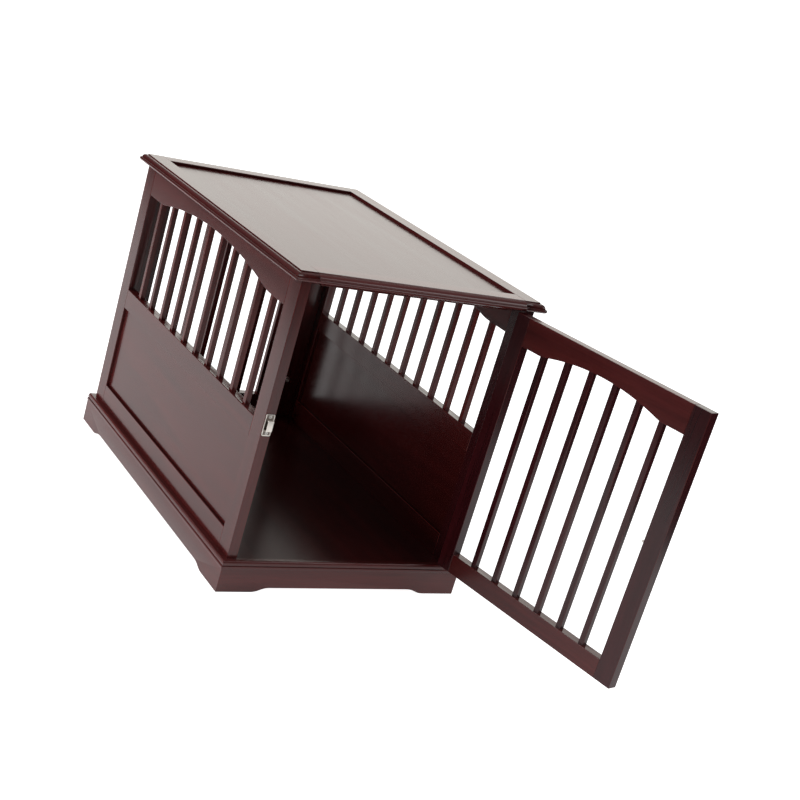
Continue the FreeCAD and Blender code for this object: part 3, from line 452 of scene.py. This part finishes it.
back_post_wood = stained_wood("back_post_wood", GRAIN_Z, BOARD_STAIN, shift=(0.8, 0.6, 0.1))
back_rail_wood = stained_wood("back_rail_wood", GRAIN_X, BOARD_STAIN, shift=(0.4, 0.4, 0.9))
back_slat_wood = stained_wood(
    "back_slat_wood", GRAIN_Z, SLAT_STAIN, shift=(0.1, 0.7, 0.5), gloss=SLAT_GLOSS
)
eased("back_post_left", "crate", back_post_wood, edge_z)
eased("back_post_right", "crate", back_post_wood, edge_z)
eased("back_bottom_rail", "crate", back_rail_wood, edge_x)
eased("back_top_rail", "crate", back_rail_wood, edge_x)
eased("back_slats", "crate", back_slat_wood, edge_z, long_only=True)

cam_zinc = plated_steel("cam_zinc", (0.90, 0.88, 0.82), (0.78, 0.76, 0.70), lines=(1, 1, 1))
crossed("cam_discs", "crate", (0, -1, 0), cam_zinc, recess=0.50, deep=0.0022, crown=0.0020)
carried("cam_bolts", screw_steel)

# --------------------------------------------------------------------------------------------------
# Floor: one stained board on five plain bearers. The board's colour is the stain made darker as
# painted shade inside the crate. The screws that hold the side and back panels go up through the
# board, and the bearers cover their heads.
# --------------------------------------------------------------------------------------------------

# Darker than the boards: painted shade inside the crate.
FLOOR_PAINTED_SHADE = ((0.026, 0.0040, 0.0042), (0.062, 0.0080, 0.0078))
floor_wood = stained_wood("floor_wood", GRAIN_Y, FLOOR_PAINTED_SHADE, shift=(0.5, 0.5, 0.5), gloss=0.2)
eased("floor_panel", "crate", floor_wood, edge_y)
eased("floor_bearer_left", "crate", inner_long_wood, edge_y)
eased("floor_bearer_right", "crate", inner_long_wood, edge_y)
eased("floor_bearer_front", "crate", inner_cross_wood, edge_x)
eased("floor_bearer_back", "crate", inner_cross_wood, edge_x)
eased("floor_bearer_middle", "crate", inner_cross_wood, edge_x)
crossed("floor_screws", "crate", (0, 0, -1), screw_steel)

# --------------------------------------------------------------------------------------------------
# Base skirt: four boards, mitred and glued at the corners, with a rounded top edge over a small
# bead. Each is cut away with a scallop between the feet.
# --------------------------------------------------------------------------------------------------

skirt_long_wood = stained_wood("skirt_long_wood", GRAIN_Y, BOARD_STAIN, shift=(0.2, 0.6, 0.3))
skirt_cross_wood = stained_wood("skirt_cross_wood", GRAIN_X, BOARD_STAIN, shift=(0.5, 0.9, 0.2))
eased("skirt_left", "crate", skirt_long_wood, edge_y)
eased("skirt_right", "crate", skirt_long_wood, edge_y)
eased("skirt_front", "crate", skirt_cross_wood, edge_x)
eased("skirt_back", "crate", skirt_cross_wood, edge_x)

# --------------------------------------------------------------------------------------------------
# Door: posts, rails and slats like the back panel, hung on two small butt hinges of plated steel
# with countersunk screws. Its posts and slats took the stain darker. It stands open, so the figure
# of its rails is turned by the same angle.
# --------------------------------------------------------------------------------------------------

OPENED = math.radians(101.5)
DOOR_GLOSS = 0.4
DARK_EDGE_STAIN = (DARK_STAIN_AND_SHADE[0], BOARD_STAIN[1])
dark_edge_z = stained_wood("dark_edge_z", GRAIN_Z, DARK_EDGE_STAIN)
door_edge_wood = stained_wood("door_edge_wood", GRAIN_X, EDGE_STAIN, turn=OPENED)
door_post_wood = stained_wood(
    "door_post_wood", GRAIN_Z, DARK_STAIN_AND_SHADE, shift=(0.35, 0.15, 0.6), gloss=DOOR_GLOSS
)
door_rail_wood = stained_wood(
    "door_rail_wood", GRAIN_X, BOARD_STAIN, shift=(0.75, 0.35, 0.2), turn=OPENED, gloss=DOOR_GLOSS
)
door_slat_wood = stained_wood(
    "door_slat_wood", GRAIN_Z, DARK_STAIN_AND_SHADE, shift=(0.55, 0.25, 0.8), gloss=DOOR_GLOSS
)
eased("door_hinge_post", "door", door_post_wood, dark_edge_z, turn=OPENED)
eased("door_free_post", "door", door_post_wood, dark_edge_z, turn=OPENED)
eased("door_top_rail", "door", door_rail_wood, door_edge_wood, turn=OPENED)
eased("door_bottom_rail", "door", door_rail_wood, door_edge_wood, turn=OPENED)
eased("door_slats", "door", door_slat_wood, dark_edge_z, long_only=True)

hinge_nickel = plated_steel("hinge_nickel", (0.74, 0.72, 0.68), (0.56, 0.54, 0.50))


SQUARE_EDGE = math.radians(70)
RUBBED = 0.00025


def burnished(node, body, finish):
    """A pressed or turned fitting with its edges rubbed down."""
    fitting = whole_faced(node)
    sheared = [
        line
        for line in fitting.edges
        if len(line.link_faces) == 2 and line.is_convex and line.calc_face_angle(0) > SQUARE_EDGE
    ]
    rounded_off(fitting, sheared, RUBBED, clamp_overlap=True)
    fitted(node, body, fitting, finish)


for level in ("upper", "lower"):
    burnished("hinge_fixed_leaf_" + level, "crate", hinge_nickel)
    burnished("hinge_door_leaf_" + level, "door", hinge_nickel)
    carried("hinge_pin_" + level, screw_steel)
door_edge_out = Matrix.Rotation(OPENED, 3, "Z") @ Vector((1, 0, 0))
crossed("hinge_fixed_screws", "crate", (-1, 0, 0), screw_steel)
crossed("hinge_door_screws", "door", door_edge_out, screw_steel)

# --------------------------------------------------------------------------------------------------
# Latch: a barrel bolt on the door and its keeper on the left front post, both pressed from steel
# and plated with satin nickel. The keeper is a thin plate with a bent strap for the bolt.
# --------------------------------------------------------------------------------------------------

latch_nickel = plated_steel("latch_nickel", (0.86, 0.81, 0.76), (0.68, 0.63, 0.58))
# Dark nickel for the keeper's dished field, as painted shade under the strap and in its tunnel.
painted_shade_nickel = plated_steel("painted_shade_nickel", (0.22, 0.19, 0.17), (0.13, 0.11, 0.10))
KEEPER_THICK = 0.0012
KEEPER_SPREAD = 0.0010
KEEPER_CORNER = 0.0026
KEEPER_SOFT = 0.0004
KEEPER_RIM = 0.0009
KEEPER_DISH = 0.0004
LOOP_WIDE = 0.0100
LOOP_HALF_TALL = 0.0095
LOOP_CORNER = 0.0012
BEND_SEGMENTS = 5

keeper_low, keeper_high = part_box("latch_keeper")
keeper_middle = (keeper_low + keeper_high) / 2
keeper_size = keeper_high - keeper_low
plate_size = Vector((keeper_size.x + KEEPER_SPREAD * 2, KEEPER_THICK, keeper_size.z))
plate_middle = Vector((keeper_middle.x, keeper_high.y - KEEPER_THICK / 2, keeper_middle.z))
keeper = bmesh.new()
bmesh.ops.create_cube(keeper, size=1)
bmesh.ops.scale(keeper, vec=plate_size, verts=keeper.verts)
bmesh.ops.translate(keeper, vec=plate_middle, verts=keeper.verts)
through = [line for line in keeper.edges if abs(line.verts[0].co.y - line.verts[1].co.y) > KEEPER_THICK / 2]
rounded_off(keeper, through, KEEPER_CORNER, segments=BEND_SEGMENTS)


def foremost(side):
    """Sorts the front face first, and the largest where several lie level."""
    return round(side.calc_center_median().y, 6), -side.calc_area()


keeper_face = min(keeper.faces, key=foremost)
rounded_off(keeper, list(keeper_face.edges), KEEPER_SOFT)
keeper.faces.ensure_lookup_table()
keeper_face = min(keeper.faces, key=foremost)
bmesh.ops.inset_individual(keeper, faces=[keeper_face], thickness=KEEPER_RIM, depth=0)
bmesh.ops.inset_individual(keeper, faces=[keeper_face], thickness=KEEPER_DISH, depth=-KEEPER_DISH)
# The dished field takes the dark nickel: painted shade.
keeper_face.material_index = 1

plate_sides = set(keeper.faces)
bends = [
    keeper.verts.new((keeper_middle.x - LOOP_WIDE / 2, out, keeper_middle.z + side * LOOP_HALF_TALL))
    for out, side in ((plate_middle.y, -1), (keeper_low.y, -1), (keeper_low.y, 1), (plate_middle.y, 1))
]
strap_edges = [keeper.edges.new(pair) for pair in zip(bends, bends[1:])]
strap = bmesh.ops.extrude_edge_only(keeper, edges=strap_edges)
bmesh.ops.translate(keeper, vec=(LOOP_WIDE, 0, 0), verts=corners_of(strap))
folds = [
    line for line in keeper.edges if len(line.link_faces) == 2 and not plate_sides & set(line.link_faces)
]
rounded_off(keeper, folds, LOOP_CORNER, segments=BEND_SEGMENTS)
strap_sides = [side for side in keeper.faces if side not in plate_sides]
bmesh.ops.recalc_face_normals(keeper, faces=strap_sides)
if min(strap_sides, key=lambda side: side.calc_center_median().y).normal.y > 0:
    bmesh.ops.reverse_faces(keeper, faces=strap_sides)
bmesh.ops.solidify(keeper, geom=strap_sides, thickness=KEEPER_THICK)
bmesh.ops.recalc_face_normals(keeper, faces=keeper.faces)
fitted("latch_keeper", "crate", keeper, latch_nickel, painted_shade_nickel)

door_face_out = Matrix.Rotation(OPENED, 3, "Z") @ Vector((0, -1, 0))
burnished("latch_plate", "door", latch_nickel)
burnished("latch_bolt", "bolt", latch_nickel)
crossed("keeper_screws", "crate", (0, -1, 0), screw_steel)
crossed("latch_screws", "door", door_face_out, screw_steel)

# --------------------------------------------------------------------------------------------------
# Studio: white paper under the object, 1.84 m wide before it fades into a dim floor. The camera sees
# the floor and the surround as plain white. A soft glow in the surround lies where the top mirrors
# it, and three softboxes stand overhead, behind at the left and in front at the right.
# --------------------------------------------------------------------------------------------------

PAPER_HALF_WIDE = 0.92
PAPER_FRONT = -1.95
PAPER_FADE = 0.35
PAPER_SHINE = 0.52
FLOOR_REACH = 60
GLOW_DIRECTION = (0.495, 0.835, 0.240)
AIM = Vector((0, 0, 0.3))

floor_shape = bpy.data.meshes.new("studio_floor")
paper = bmesh.new()
bmesh.ops.create_grid(paper, x_segments=1, y_segments=1, size=FLOOR_REACH)
paper.to_mesh(floor_shape)
paper.free()
studio_floor = bpy.data.objects.new("studio_floor", floor_shape)
bpy.context.collection.objects.link(studio_floor)
pale = bpy.data.materials.new("pale_floor")
pale.use_nodes = True
nodes, links = pale.node_tree.nodes, pale.node_tree.links
matt = nodes["Principled BSDF"]
matt.inputs["Roughness"].default_value = 0.9
matt.inputs["Specular IOR Level"].default_value = 0.0
spot = nodes.new("ShaderNodeTexCoord")
spot_parts = nodes.new("ShaderNodeSeparateXYZ")
links.new(spot.outputs["Object"], spot_parts.inputs["Vector"])
from_middle = nodes.new("ShaderNodeMath")
from_middle.operation = "ABSOLUTE"
links.new(spot_parts.outputs["X"], from_middle.inputs[0])
across = nodes.new("ShaderNodeMapRange")
across.inputs["From Min"].default_value = PAPER_HALF_WIDE + PAPER_FADE
across.inputs["From Max"].default_value = PAPER_HALF_WIDE
links.new(from_middle.outputs["Value"], across.inputs["Value"])
along = nodes.new("ShaderNodeMapRange")
along.inputs["From Min"].default_value = PAPER_FRONT
along.inputs["From Max"].default_value = PAPER_FRONT + PAPER_FADE
links.new(spot_parts.outputs["Y"], along.inputs["Value"])
on_paper = nodes.new("ShaderNodeMath")
on_paper.operation = "MULTIPLY"
links.new(across.outputs["Result"], on_paper.inputs[0])
links.new(along.outputs["Result"], on_paper.inputs[1])
ray = nodes.new("ShaderNodeLightPath")
seen = nodes.new("ShaderNodeMath")
seen.operation = "MAXIMUM"
links.new(on_paper.outputs["Value"], seen.inputs[0])
links.new(ray.outputs["Is Camera Ray"], seen.inputs[1])
shade = nodes.new("ShaderNodeMix")
shade.data_type = "RGBA"
shade.inputs["A"].default_value = (0.04, 0.04, 0.04, 1)
shade.inputs["B"].default_value = (0.93, 0.93, 0.93, 1)
links.new(seen.outputs["Value"], shade.inputs["Factor"])
links.new(shade.outputs["Result"], matt.inputs["Base Color"])
shine = nodes.new("ShaderNodeMath")
shine.operation = "MULTIPLY"
shine.inputs[1].default_value = PAPER_SHINE
links.new(on_paper.outputs["Value"], shine.inputs[0])
lift = nodes.new("ShaderNodeMix")
lift.data_type = "RGBA"
lift.inputs["B"].default_value = (1, 1, 1, 1)
links.new(ray.outputs["Is Camera Ray"], lift.inputs["Factor"])
links.new(shine.outputs["Value"], lift.inputs["A"])
links.new(lift.outputs["Result"], matt.inputs["Emission Color"])
matt.inputs["Emission Strength"].default_value = 1.0
floor_shape.materials.append(pale)

studio = bpy.data.worlds.new("studio")
bpy.context.scene.world = studio
studio.use_nodes = True
nodes, links = studio.node_tree.nodes, studio.node_tree.links
surround = nodes["Background"]
direction = nodes.new("ShaderNodeTexCoord")
parts = nodes.new("ShaderNodeSeparateXYZ")
links.new(direction.outputs["Generated"], parts.inputs["Vector"])
ceiling = nodes.new("ShaderNodeMapRange")
ceiling.inputs["From Min"].default_value = 0.15
ceiling.inputs["From Max"].default_value = 0.8
ceiling.inputs["To Min"].default_value = 0.06
ceiling.inputs["To Max"].default_value = 0.35
links.new(parts.outputs["Z"], ceiling.inputs["Value"])
toward = nodes.new("ShaderNodeVectorMath")
toward.operation = "DOT_PRODUCT"
toward.inputs[1].default_value = GLOW_DIRECTION
links.new(direction.outputs["Generated"], toward.inputs[0])
glow = nodes.new("ShaderNodeMapRange")
glow.interpolation_type = "SMOOTHSTEP"
glow.inputs["From Min"].default_value = 0.87
glow.inputs["From Max"].default_value = 0.975
glow.inputs["To Max"].default_value = 1.42
links.new(toward.outputs["Value"], glow.inputs["Value"])
both = nodes.new("ShaderNodeMath")
both.operation = "ADD"
links.new(ceiling.outputs["Result"], both.inputs[0])
links.new(glow.outputs["Result"], both.inputs[1])
world_ray = nodes.new("ShaderNodeLightPath")
backdrop = nodes.new("ShaderNodeMix")
backdrop.data_type = "FLOAT"
backdrop.inputs["B"].default_value = 1.3
links.new(world_ray.outputs["Is Camera Ray"], backdrop.inputs["Factor"])
links.new(both.outputs["Value"], backdrop.inputs["A"])
links.new(backdrop.outputs["Result"], surround.inputs["Strength"])
warm = nodes.new("ShaderNodeMix")
warm.data_type = "RGBA"
warm.inputs["A"].default_value = (1, 1, 1, 1)
warm.inputs["B"].default_value = (1.03, 1.0, 0.94, 1)
links.new(glow.outputs["Result"], warm.inputs["Factor"])
links.new(warm.outputs["Result"], surround.inputs["Color"])



def softbox(name, place, wide, tall, power):
    """A soft rectangular lamp, turned to the middle of the object and hidden from the camera."""
    lamp = bpy.data.lights.new(name, "AREA")
    lamp.shape = "RECTANGLE"
    lamp.size = wide
    lamp.size_y = tall
    lamp.energy = power
    box = bpy.data.objects.new(name, lamp)
    box.location = place
    box.visible_camera = False
    box.rotation_euler = (AIM - Vector(place)).to_track_quat("-Z", "Y").to_euler()
    bpy.context.collection.objects.link(box)


softbox("overhead_softbox", place=(-0.3, -0.3, 3.2), wide=2.6, tall=2.6, power=8)
softbox("left_softbox", place=(-2.9, 1.1, 1.2), wide=2.0, tall=1.6, power=56)
softbox("front_softbox", place=(2.4, -2.6, 1.9), wide=2.0, tall=1.4, power=25)

# --------------------------------------------------------------------------------------------------
# Camera: at the left front, a little above the object, and rolled, as the photograph is. The lens
# shift puts its axis where the photograph has it.
# --------------------------------------------------------------------------------------------------

AZIMUTH = math.radians(-32.48)
ELEVATION = math.radians(18.47)
ROLL = math.radians(15.99)
FOCAL_PIXELS = 1472.8
AXIS_PIXEL = (326.9, 414.1)
PICTURE = 800
SENSOR = 36
STANDPOINT = Vector((-1.3388, -2.2582, 1.0854))

ahead = Vector(
    (
        -math.sin(AZIMUTH) * math.cos(ELEVATION),
        math.cos(AZIMUTH) * math.cos(ELEVATION),
        -math.sin(ELEVATION),
    )
)
level_right = ahead.cross(Vector((0, 0, 1))).normalized()
level_up = level_right.cross(ahead)
right = math.cos(ROLL) * level_right + math.sin(ROLL) * level_up
up = -math.sin(ROLL) * level_right + math.cos(ROLL) * level_up
camera_data = bpy.data.cameras.new("camera")
camera_data.sensor_width = SENSOR
camera_data.lens = FOCAL_PIXELS / PICTURE * SENSOR
camera_data.shift_x = (PICTURE / 2 - AXIS_PIXEL[0]) / PICTURE
camera_data.shift_y = (AXIS_PIXEL[1] - PICTURE / 2) / PICTURE
camera_data.clip_end = FLOOR_REACH * 3
camera = bpy.data.objects.new("camera", camera_data)
turn = Matrix((right, up, -ahead)).transposed()
camera.matrix_world = Matrix.Translation(STANDPOINT) @ turn.to_4x4()
bpy.context.collection.objects.link(camera)
bpy.context.scene.camera = camera
bpy.context.scene.view_settings.view_transform = "Standard"
